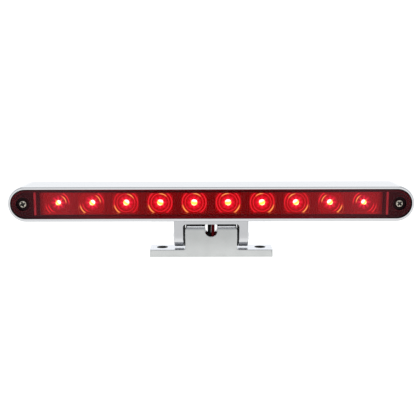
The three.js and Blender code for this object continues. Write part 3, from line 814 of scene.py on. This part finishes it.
def lit_led(name, x):
    """One lit LED: a base with eight petals and a round dome."""
    high = span(name)[1]
    steps = 64
    wide = 1.85 * (1 - 0.22 * (x / 90) ** 2)
    rings = []
    # Radius, height and petal depth, from the foot of the base to the foot of the dome.
    profile = ((3.8, 0, 0), (3.8, 1.3, 0), (3.3, 1.7, 0.28), (2.5, 1.3, 0.16), (wide, 1.6, 0))
    for radius, lift, wave in profile:
        ring = []
        for a in circle(steps):
            r = radius - wave * (1 - cos(8 * a))
            ring.append((x + r * cos(a), high.y - lift, MID_Z + r * sin(a)))
        rings.append(ring)
    petals = loft(rings, True, False)
    neck = wide - 0.15
    dome_profile = [(wide, 1.6), (neck, 2.6)]
    dome_profile += [(neck * cos(a), 2.6 + 2.3 * sin(a)) for a in quarter(12)[1:]]
    dome_profile[-1] = (0, dome_profile[-1][1])
    dome = moved(lathe(dome_profile, steps), (x, high.y, MID_Z), TO_FRONT)
    for face in dome.faces:
        face.material_index = 1
    bm = joined([petals, dome])
    glow = bm.verts.layers.float.new("glow")
    cell = bm.verts.layers.float_vector.new("cell")
    for vert in bm.verts:
        across, up = vert.co.x - x, vert.co.z - MID_Z
        vert[cell] = (across, -x / 100, up)
        turn = atan2(up, across)
        # Painted glow on the base: brighter next to the dome and along the eight petals.
        near = max(0.0, 1 - (hypot(across, up) - 2.3) / 1.6)
        vert[glow] = 0.25 + 0.45 * near + 0.3 * cos(8 * turn)
    made = finished(name.replace("led", "lit_led"), bm, ["led_petals", "led_core"], HEAD, [name])
    # The LEDs light nothing round them; their light on the tray and lens is painted.
    made.visible_diffuse = False
    made.visible_glossy = False
    return made


def cross_screw(name, side, turn):
    """A pan-head screw with a cross recess, turned as it was left by the driver."""
    low, high = span(name)
    head_top = -low.y
    seat = head_top - 1.7
    radius = 2.15
    profile = [(0, -high.y), (1.1, -high.y), (1.4, 1 - high.y), (1.4, seat), (radius - 0.1, seat)]
    profile += [(radius, seat + 0.1), (radius, seat + 0.75)]
    for a in quarter(8)[1:]:
        profile.append((radius - 1.0 * (1 - cos(a)), seat + 0.75 + 0.85 * sin(a)))
    profile.append((0, head_top))
    steps = []
    for angle in (turn, turn + 90):
        rings = []
        for lift, long, wide in ((-1.1, 1.1, 0.45), (0.3, 1.8, 0.62)):
            corners = ((-long, -wide), (long, -wide), (long, wide), (-long, wide))
            rings.append([(a, b, head_top + lift) for a, b in corners])
        slot = loft(rings)
        # Painted shade: the cross slots take the near-black recess material.
        for face in slot.faces:
            face.material_index = 1
        steps.append(("DIFFERENCE", moved(slot, (0, 0, 0), Matrix.Rotation(radians(angle), 3, "Z"))))
    bm = moved(carve(lathe(profile, 48), steps, 2), (side * SCREW_X, 0, MID_Z), TO_FRONT)
    return finished(name + "_plated", bm, ["nickel", "recess"], HEAD, [name], sharp=32)


def yoke_outline():
    """The yoke seen from the front."""
    outer = YOKE_HIGH.x
    inner = outer - LEG
    low, high = YOKE_LOW.z - 1, YOKE_HIGH.z
    points = [(-outer, low), (-inner, low)]
    points += arc(-inner + LEG_CORNER, LEG_CEILING - LEG_CORNER, LEG_CORNER, 180, 90, 10)
    points += arc(inner - LEG_CORNER, LEG_CEILING - LEG_CORNER, LEG_CORNER, 90, 0, 10)
    return points + [(inner, low), (outer, low), (outer, high), (-outer, high)]


def hinge_rod(radius, left, right, steps=48):
    bm = lathe([(0, left), (radius, left), (radius, right), (0, right)], steps)
    return moved(bm, (0, 0, AXIS_Z), TO_RIGHT)


def corner_web(side):
    """A small web that fills the corner between a leg and the cross-piece, all of it near-black as painted
    shade.
    """
    near, far = sorted((side * (YOKE_HIGH.x - LEG - 1.05), side * (YOKE_HIGH.x - LEG + 0.3)))
    low, high, half_depth = LEG_CEILING - 1.8, LEG_CEILING + 0.3, 4.4
    outline = [(near, low), (far, low), (far, high), (near, high)]
    bm = prism(outline, "y", -half_depth, half_depth)
    for face in bm.faces:
        face.material_index = 1
    return bm


def yoke_bracket():
    """The U bracket, with round leg ends, screw counterbores and the lead opening."""
    half = (YOKE_HIGH.y - YOKE_LOW.y) / 2
    outer = YOKE_HIGH.x
    side_view = [(half, YOKE_HIGH.z + 1), (-half, YOKE_HIGH.z + 1)] + arc(0, AXIS_Z, half, 180, 360, 40)
    bm = soft_prism(yoke_outline(), "y", -half, half, SOFT)
    opening = [(a, b + LEAD_Y) for a, b in stadium(7.8, 5.4)]
    steps = [
        ("INTERSECT", soft_prism(side_view, "x", -outer, outer, SOFT)),
        ("DIFFERENCE", soft_prism(opening, "z", LEG_CEILING - 0.01, 30, -0.3)),
    ]
    for _, side in SIDES:
        for radius, reach in ((3.2, (outer - 1.7, outer + 1)), (2.3, (outer - 6.5, outer - 1))):
            ends = sorted(side * r for r in reach)
            steps.append(("DIFFERENCE", hinge_rod(radius, *ends)))
    bm = carve(bm, steps)
    bm.normal_update()
    inner = outer - LEG
    for face in bm.faces:
        centre = face.calc_center_median()
        # Painted shade: faces that look inwards from the legs take the near-black recess material.
        faces_in = face.normal.x * centre.x < -0.5 * abs(centre.x) and abs(centre.x) < inner + 0.01
        face.material_index = 1 if faces_in else 0
    bm = joined([bm, corner_web(-1), corner_web(1)])
    return finished("yoke_bracket", bm, ["chrome", "recess"], HEAD, ["swivel_yoke"], flat=True)


def grommet_sleeve():
    """The rubber sleeve that the leads come through."""
    low, high = span("wire_grommet")
    outer = stadium(7.2, 4.8, 0)
    inner = stadium(4.6, 2.3, 0)
    rings = []
    for outline, levels in ((outer, (high.z, low.z + 0.3)), (inner, (low.z + 0.3, high.z))):
        for level in levels:
            rings.append([(a, b + LEAD_Y, level) for a, b in outline])
    lip = [(a, b + LEAD_Y, low.z) for a, b in stadium(6.6, 4.2, 0)]
    lip_in = [(a, b + LEAD_Y, low.z) for a, b in stadium(5.2, 2.9, 0)]
    rings[2:2] = [lip, lip_in]
    bm = loft(rings, loop=True)
    return finished("grommet_sleeve", bm, ["rubber"], HEAD, ["wire_grommet"])


# ---------- base


def base_front_view():
    """The base seen from the front: foot, fillets and block."""
    x, foot, top = BLOCK_HALF, FOOT_HEIGHT, BASE_HIGH.z
    half = BASE_HIGH.x
    points = [(-half, 0), (half, 0), (half, foot)]
    points += arc(x + FILLET, foot + FILLET, FILLET, 270, 180, 10)
    points += arc(x - BLOCK_EDGE, top - BLOCK_EDGE, BLOCK_EDGE, 0, 90, 10)
    points += arc(-x + BLOCK_EDGE, top - BLOCK_EDGE, BLOCK_EDGE, 90, 180, 10)
    points += arc(-x - FILLET, foot + FILLET, FILLET, 0, -90, 10)
    return points + [(-half, foot)]


def shaded_patch(top):
    """A tool that shaves a thin patch off the block's top and its rounded edges; the patch takes painted
    shade.
    """
    skin, bottom, front, back = 0.02, 15, -1.8, 6.2
    corner_x, corner_z, radius = BLOCK_HALF - BLOCK_EDGE, top - BLOCK_EDGE, BLOCK_EDGE - skin
    outside, above = BLOCK_HALF + 1, top + 1
    outline = [(BLOCK_HALF - skin, bottom)] + arc(corner_x, corner_z, radius, 0, 90, 10)
    outline += arc(-corner_x, corner_z, radius, 90, 180, 10) + [(skin - BLOCK_HALF, bottom)]
    outline += [(-outside, bottom), (-outside, above), (outside, above), (outside, bottom)]
    patch = prism(outline, "y", front, back)
    for face in patch.faces:
        face.material_index = 2
    return patch


def base_casting():
    """The swivel base: two ears, a block with a U notch, and a hollow for the leads."""
    y, top, half = BASE_HIGH.y, BASE_HIGH.z, BASE_HIGH.x
    edge = BLOCK_EDGE
    side_view = [(-y, 0), (y, 0)] + arc(y - edge, top - edge, edge, 0, 90, 10)
    side_view += arc(-y + edge, top - edge, edge, 90, 180, 10)
    plan = round_rectangle(half * 2, y * 2, FOOT_CORNER)
    notch = arc(0, NOTCH_Z, NOTCH, 180, 360, 24) + [(NOTCH, top + 1), (-NOTCH, top + 1)]
    arch = [(-NOTCH, -1), (NOTCH, -1)] + arc(0, ARCH_Z, NOTCH, 0, 180, 20)
    steps = [
        ("INTERSECT", prism(side_view, "x", -half - 1, half + 1)),
        ("INTERSECT", prism(plan, "z", 0, top + 1)),
        ("DIFFERENCE", soft_prism(notch, "y", -y - 0.01, y + 0.01, -0.3)),
        ("DIFFERENCE", prism(round_rectangle(15, 11, 2), "z", -1, 9)),
        ("DIFFERENCE", prism(arch, "y", 4.5, y + 1)),
        ("DIFFERENCE", prism(round_rectangle(6.8, 11.2, 2, 0, -0.5), "z", 8, NOTCH_Z)),
    ]
    # Painted shade on the block's top under the yoke.
    steps.append(("DIFFERENCE", shaded_patch(top)))
    for _, side in SIDES:
        ear_hole = [(a + side * EAR_HOLE_X, b) for a, b in arc(0, 0, EAR_HOLE, 0, 360, 56)[:-1]]
        hole = soft_prism(ear_hole, "z", -0.01, FOOT_HEIGHT + 0.01, -0.35)
        # Painted shade: the ear holes' walls take the near-black recess material.
        for face in hole.faces:
            face.material_index = 1
        steps.append(("DIFFERENCE", hole))
        ends = sorted((side * 8.9, side * 16.5))
        steps.append(("DIFFERENCE", hinge_rod(1.7, *ends, steps=24)))
    bm = carve(soft_prism(base_front_view(), "y", -y, y, SOFT), steps, 3)
    looks = ["satin_chrome", "recess", "shade"]
    return finished("base_casting", bm, looks, BASE, ["swivel_base"], flat=True)


def hinge_pivot(name, side):
    """A domed pivot screw with a hexagon recess."""
    low, high = span(name)
    tip = min(abs(low.x), abs(high.x))
    dome = max(abs(low.x), abs(high.x))
    face = dome - 0.6
    seat = face - 1.4
    profile = [(0, tip), (1.1, tip), (1.4, tip + 0.4), (1.4, 15.65), (2.0, 15.65), (2.0, seat), (2.8, seat)]
    profile += [(2.9, seat + 0.1), (2.9, face - 0.1)]
    profile += [(2.9 - 1.6 * (1 - cos(a)), face - 0.1 + 0.7 * sin(a)) for a in quarter(8)[1:]]
    profile.append((0, dome))
    socket = [(1.15 * cos(a), 1.15 * sin(a)) for a in circle(6)]
    body = carve(lathe(profile, 56), [("DIFFERENCE", prism(socket, "z", dome - 1.1, dome + 1))])
    bm = moved(body, (0, 0, AXIS_Z), TO_RIGHT if side > 0 else TO_LEFT)
    return finished(name + "_polished", bm, ["chrome"], BASE, [name], sharp=32)


def friction_washer(name, side):
    low, high = span(name)
    near, far = sorted((abs(low.x), abs(high.x)))
    outer = high.z - AXIS_Z
    profile = [(2.3, near), (outer - 0.1, near), (outer, near + 0.1), (outer, far - 0.1)]
    profile += [(outer - 0.1, far), (2.3, far), (2.3, near)]
    bm = moved(lathe(profile, 56), (0, 0, AXIS_Z), TO_RIGHT if side > 0 else TO_LEFT)
    bmesh.ops.remove_doubles(bm, verts=bm.verts, dist=1e-4)
    return finished(name + "_turned", bm, ["plastic"], BASE, [name])


# ---------- leads

LEAD_RADIUS = 1.04
# The routes that part.mjs gives the free leads, from the grommet to the coil, in metres.
BLACK_ROUTE = [
    (-0.00107, 0.003, 0.0182), (-0.00107, 0.003, 0.014), (-0.00107, 0.003, 0.010),
    (-0.0012, 0.0031, 0.0066), (-0.0012, 0.0043, 0.0033), (-0.00115, 0.0072, 0.0018),
    (-0.0007, 0.0099, 0.00175), (0.0014, 0.0117, 0.0018), (0.0044, 0.0123, 0.00185),
    (0.0073, 0.0134, 0.00185),
]
RED_ROUTE = [
    (0.00107, 0.003, 0.0182), (0.00107, 0.003, 0.014), (0.00107, 0.003, 0.010),
    (0.0012, 0.0031, 0.0066), (0.0012, 0.0043, 0.0033), (0.00125, 0.0072, 0.0018),
    (0.0015, 0.0089, 0.0025), (0.0025, 0.0106, 0.0035), (0.0046, 0.012, 0.00415),
    (0.0073, 0.0134, 0.0042),
]
# Where both leads run onto the outer turn, and where they leave the inner one, seen from above.
RUN_ON = [(9.5, 15.9), (11.1, 18.6)]
RUN_OFF = [(3.2, 18.15), (4.55, 19.4), (5.2, 21.2), (4.86, 24.0)]


def coil_turns(z):
    """Nearly three turns, which step inwards by one diameter where the next turn runs on."""
    centre_y = (COIL_LOW.y + COIL_HIGH.y) / 2
    outer = COIL_HIGH.x - LEAD_PITCH / 2
    points = []
    start, stop, step = -19, 280 + 720, 7.5
    count = round((stop - start) / step)
    for i in range(count + 1):
        angle = start + (stop - start) * i / count
        turn, within = divmod(angle - start, 360)
        share = max(0.0, (within - 299) / 61)
        ease = share * share * (3 - 2 * share)
        radius = outer - LEAD_PITCH * (turn + ease)
        a = radians(angle)
        points.append((radius * cos(a), centre_y + radius * sin(a), z))
    return points


def smooth_line(points, per_span=6):
    """A Catmull-Rom line through the points."""
    line = []
    ends = [points[0] * 2 - points[1]] + points + [points[-1] * 2 - points[-2]]
    for p0, p1, p2, p3 in zip(ends, ends[1:], ends[2:], ends[3:]):
        for i in range(per_span):
            t = i / per_span
            line.append(
                0.5 * ((2 * p1) + (p2 - p0) * t + (2 * p0 - 5 * p1 + 4 * p2 - p3) * t * t
                       + (3 * p1 - p0 - 3 * p2 + p3) * t ** 3)
            )
    line.append(points[-1])
    return line


def tube(line, radius, steps=14):
    """A closed round tube along a line, its ends closed flat."""
    rings = []
    side = Vector((1, 0, 0))
    count = len(line)
    for i, point in enumerate(line):
        ahead = (line[min(i + 1, count - 1)] - line[max(i - 1, 0)]).normalized()
        side = (side - ahead * side.dot(ahead)).normalized()
        other = ahead.cross(side)
        rings.append([point + (side * cos(a) + other * sin(a)) * radius for a in circle(steps)])
    return loft(rings)


def free_lead(color, route, layer):
    """One lead from the grommet, through the base and into the coil, as one mesh."""
    z = COIL_LOW.z + (2 * layer + 1) * LEAD_PITCH / 2
    exit_point = Vector((route[0][0] / MM, route[0][1] / MM, span("wire_grommet")[0].z))
    points = [exit_point] + [Vector(p) / MM for p in route[1:]]
    points += [Vector((x, y, z)) for x, y in RUN_ON]
    coil = [Vector(p) for p in coil_turns(z)]
    tail = [Vector((x, y, z)) for x, y in RUN_OFF]
    line = smooth_line(points + coil[:1]) + smooth_line(coil, 2)[1:] + smooth_line(coil[-1:] + tail, 4)[1:]
    bm = tube(line, LEAD_RADIUS)
    name = f"{color}_lead_insulation"
    stands_for = [f"{color}_lead"] + (["lead_coil"] if color == "black" else [])
    made = finished(name, bm, [f"{color}_wire"], None, stands_for)
    path = [p * MM for p in line]
    tip = lead_tip(color, line[-1], (line[-1] - line[-2]).normalized())
    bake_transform(made)
    return made, path, tip


def lead_tip(color, start, ahead):
    """The stripped end: tinned strands with a slight twist."""
    steps, strands, length = 42, 7, 6.0
    side = Vector((0, 0, 1)).cross(ahead).normalized()
    other = ahead.cross(side)
    rings = []
    for k in range(13):
        along = length * k / 12
        ring = []
        for a in circle(steps):
            r = 0.55 + 0.05 * abs(cos(strands / 2 * a + along * 0.9))
            if k == 12:
                r *= 0.8
            ring.append(start + ahead * (along - 0.2) + (side * cos(a) + other * sin(a)) * r)
        rings.append(ring)
    bm = loft(rings)
    return finished(f"{color}_tinned_end", bm, ["tinned"], BASE, [f"{color}_lead_tip"])


def tie_band():
    """A small cable tie round the coil, with its head on top."""
    low, high = span("coil_tie")
    mid = (low + high) / 2
    width, height = high.x - low.x, high.z - low.z
    outer = round_rectangle(width, height, 1.0, mid.x, mid.z)
    inner = round_rectangle(width - 0.9, height - 0.9, 0.6, mid.x, mid.z)
    rings = []
    for outline, edges in ((outer, (low.y + 0.1, high.y - 0.1)), (inner, (high.y, low.y))):
        for edge in edges:
            rings.append([(a, edge, b) for a, b in outline])
    band = loft(rings, loop=True)
    head = round_rectangle(2.6, 3.4, 0.5, mid.x, mid.y)
    rings = []
    for inset, z in ((0.25, high.z - 0.1), (0, high.z + 0.2), (0, high.z + 1.3), (0.25, high.z + 1.6)):
        rings.append([
            (mid.x + (a - mid.x) * (1 - inset / 1.3), mid.y + (b - mid.y) * (1 - inset / 1.7), z)
            for a, b in head
        ])
    bm = joined([band, loft(rings)])
    return finished("cable_tie", bm, ["plastic"], BASE, ["coil_tie"])


def inner_lead(color):
    """A lead inside the lamp head, down behind the backplate to the grommet."""
    low, high = span(f"{color}_lead_inner")
    x = (low.x + high.x) / 2
    top = MID_Z + 3
    line = [(x, -1.5, top), (x, 0.2, top - 0.4), (x, 2.2, top - 1.9), (x, 3, top - 4.5)]
    line += [(x, 3, top - 8), (x, 3, low.z + 0.4)]
    bm = tube(smooth_line([Vector(p) for p in line], 6), LEAD_RADIUS)
    return finished(f"{color}_inner_insulation", bm, [f"{color}_wire"], HEAD, [f"{color}_lead_inner"])


def make_leads():
    ties = tie_band()
    for layer, (color, route) in enumerate((("black", BLACK_ROUTE), ("red", RED_ROUTE))):
        made, path, tip = free_lead(color, route, layer)


# ---------- carried-over CAD nodes


def dress_cad_nodes():
    """Finishes for the CAD nodes that stay as they are."""
    finishes = {
        "board": ["circuit_board"],
        "rubber": ["lens_gasket"],
        "plastic": ["lamp_backplate", "polarity_diode", "resistor_left", "resistor_right"],
        "nickel": ["yoke_screw_left", "yoke_screw_right"],
    }
    for look, nodes in finishes.items():
        for node in nodes:
            mesh = frame["nodes"][node].data
            mesh.materials.clear()
            mesh.materials.append(LOOKS[look])


# ---------- stage


def make_stage():
    """A pale floor with a painted pool of light round the lamp, a soft world that is darker in front, and one
    soft lamp overhead.
    """
    bm = bmesh.new()
    bmesh.ops.create_grid(bm, x_segments=8, y_segments=8, size=6)
    floor = raw_object("floor", bm)
    look = Look("pale_floor", (0.3, 0.3, 0.3), 0.9)
    feed(look.shader, Specular_IOR_Level=0.1)
    look.tint(look.noise(3, 2), (0.29, 0.29, 0.29), (0.31, 0.31, 0.31))
    # Painted light: the floor's emission is a pool, brightest near the lamp and fading away from it.
    scaled = look.node("ShaderNodeVectorMath", operation="MULTIPLY")
    look.link(look.place, scaled.inputs[0])
    scaled.inputs[1].default_value = (0.3, 1, 1)
    away = look.node("ShaderNodeVectorMath", operation="LENGTH")
    look.link(scaled.outputs["Vector"], away.inputs[0])
    pool = look.spread(away.outputs["Value"], 0, 1, 0.02, 0.07)
    look.glow(look.ramp(pool, [(0, (1.2, 1.2, 1.2)), (1, (0.74, 0.74, 0.74))]))
    floor.data.materials.append(look.material)
    floor.location.z = -0.00005
    world = bpy.data.worlds.new("studio")
    bpy.context.scene.world = world
    world.use_nodes = True
    tree = world.node_tree
    place = tree.nodes.new("ShaderNodeTexCoord")
    split = tree.nodes.new("ShaderNodeSeparateXYZ")
    tree.links.new(place.outputs["Generated"], split.inputs["Vector"])
    depth = tree.nodes.new("ShaderNodeMapRange")
    feed(depth, From_Min=-0.6, From_Max=0.8, To_Min=0.85, To_Max=1.22)
    tree.links.new(split.outputs["Y"], depth.inputs["Value"])
    background = tree.nodes["Background"]
    feed(background, Color=(0.955, 0.975, 1.0, 1))
    tree.links.new(depth.outputs["Result"], background.inputs["Strength"])
    add_lamp("overhead", (0, 0.3, 0.9), 1.0, 3, (0, 0, 0))
    bpy.context.scene.view_settings.view_transform = "Standard"


def add_lamp(name, place, size, power, target):
    data = bpy.data.lights.new(name, "AREA")
    data.size = size
    data.energy = power
    lamp = bpy.data.objects.new(name, data)
    bpy.context.scene.collection.objects.link(lamp)
    aim = Vector(target) - Vector(place)
    lamp.matrix_world = Matrix.Translation(place) @ aim.to_track_quat("-Z", "Y").to_matrix().to_4x4()


# ---------- the whole lamp

make_camera()
make_leads()
make_stage()
dress_cad_nodes()
housing_shell()
lens_cover()
end_rings()
end_glow()
cell_tray()
tray_flutes()
for led_name, led_x in zip(LED_NAMES, LED_X):
    lit_led(led_name, led_x)
cross_screw("lens_screw_left", -1, 20)
cross_screw("lens_screw_right", 1, 45)
yoke_bracket()
grommet_sleeve()
base_casting()
for word, side in SIDES:
    hinge_pivot(f"hinge_screw_{word}", side)
    friction_washer(f"hinge_washer_{word}", side)
inner_lead("black")
inner_lead("red")
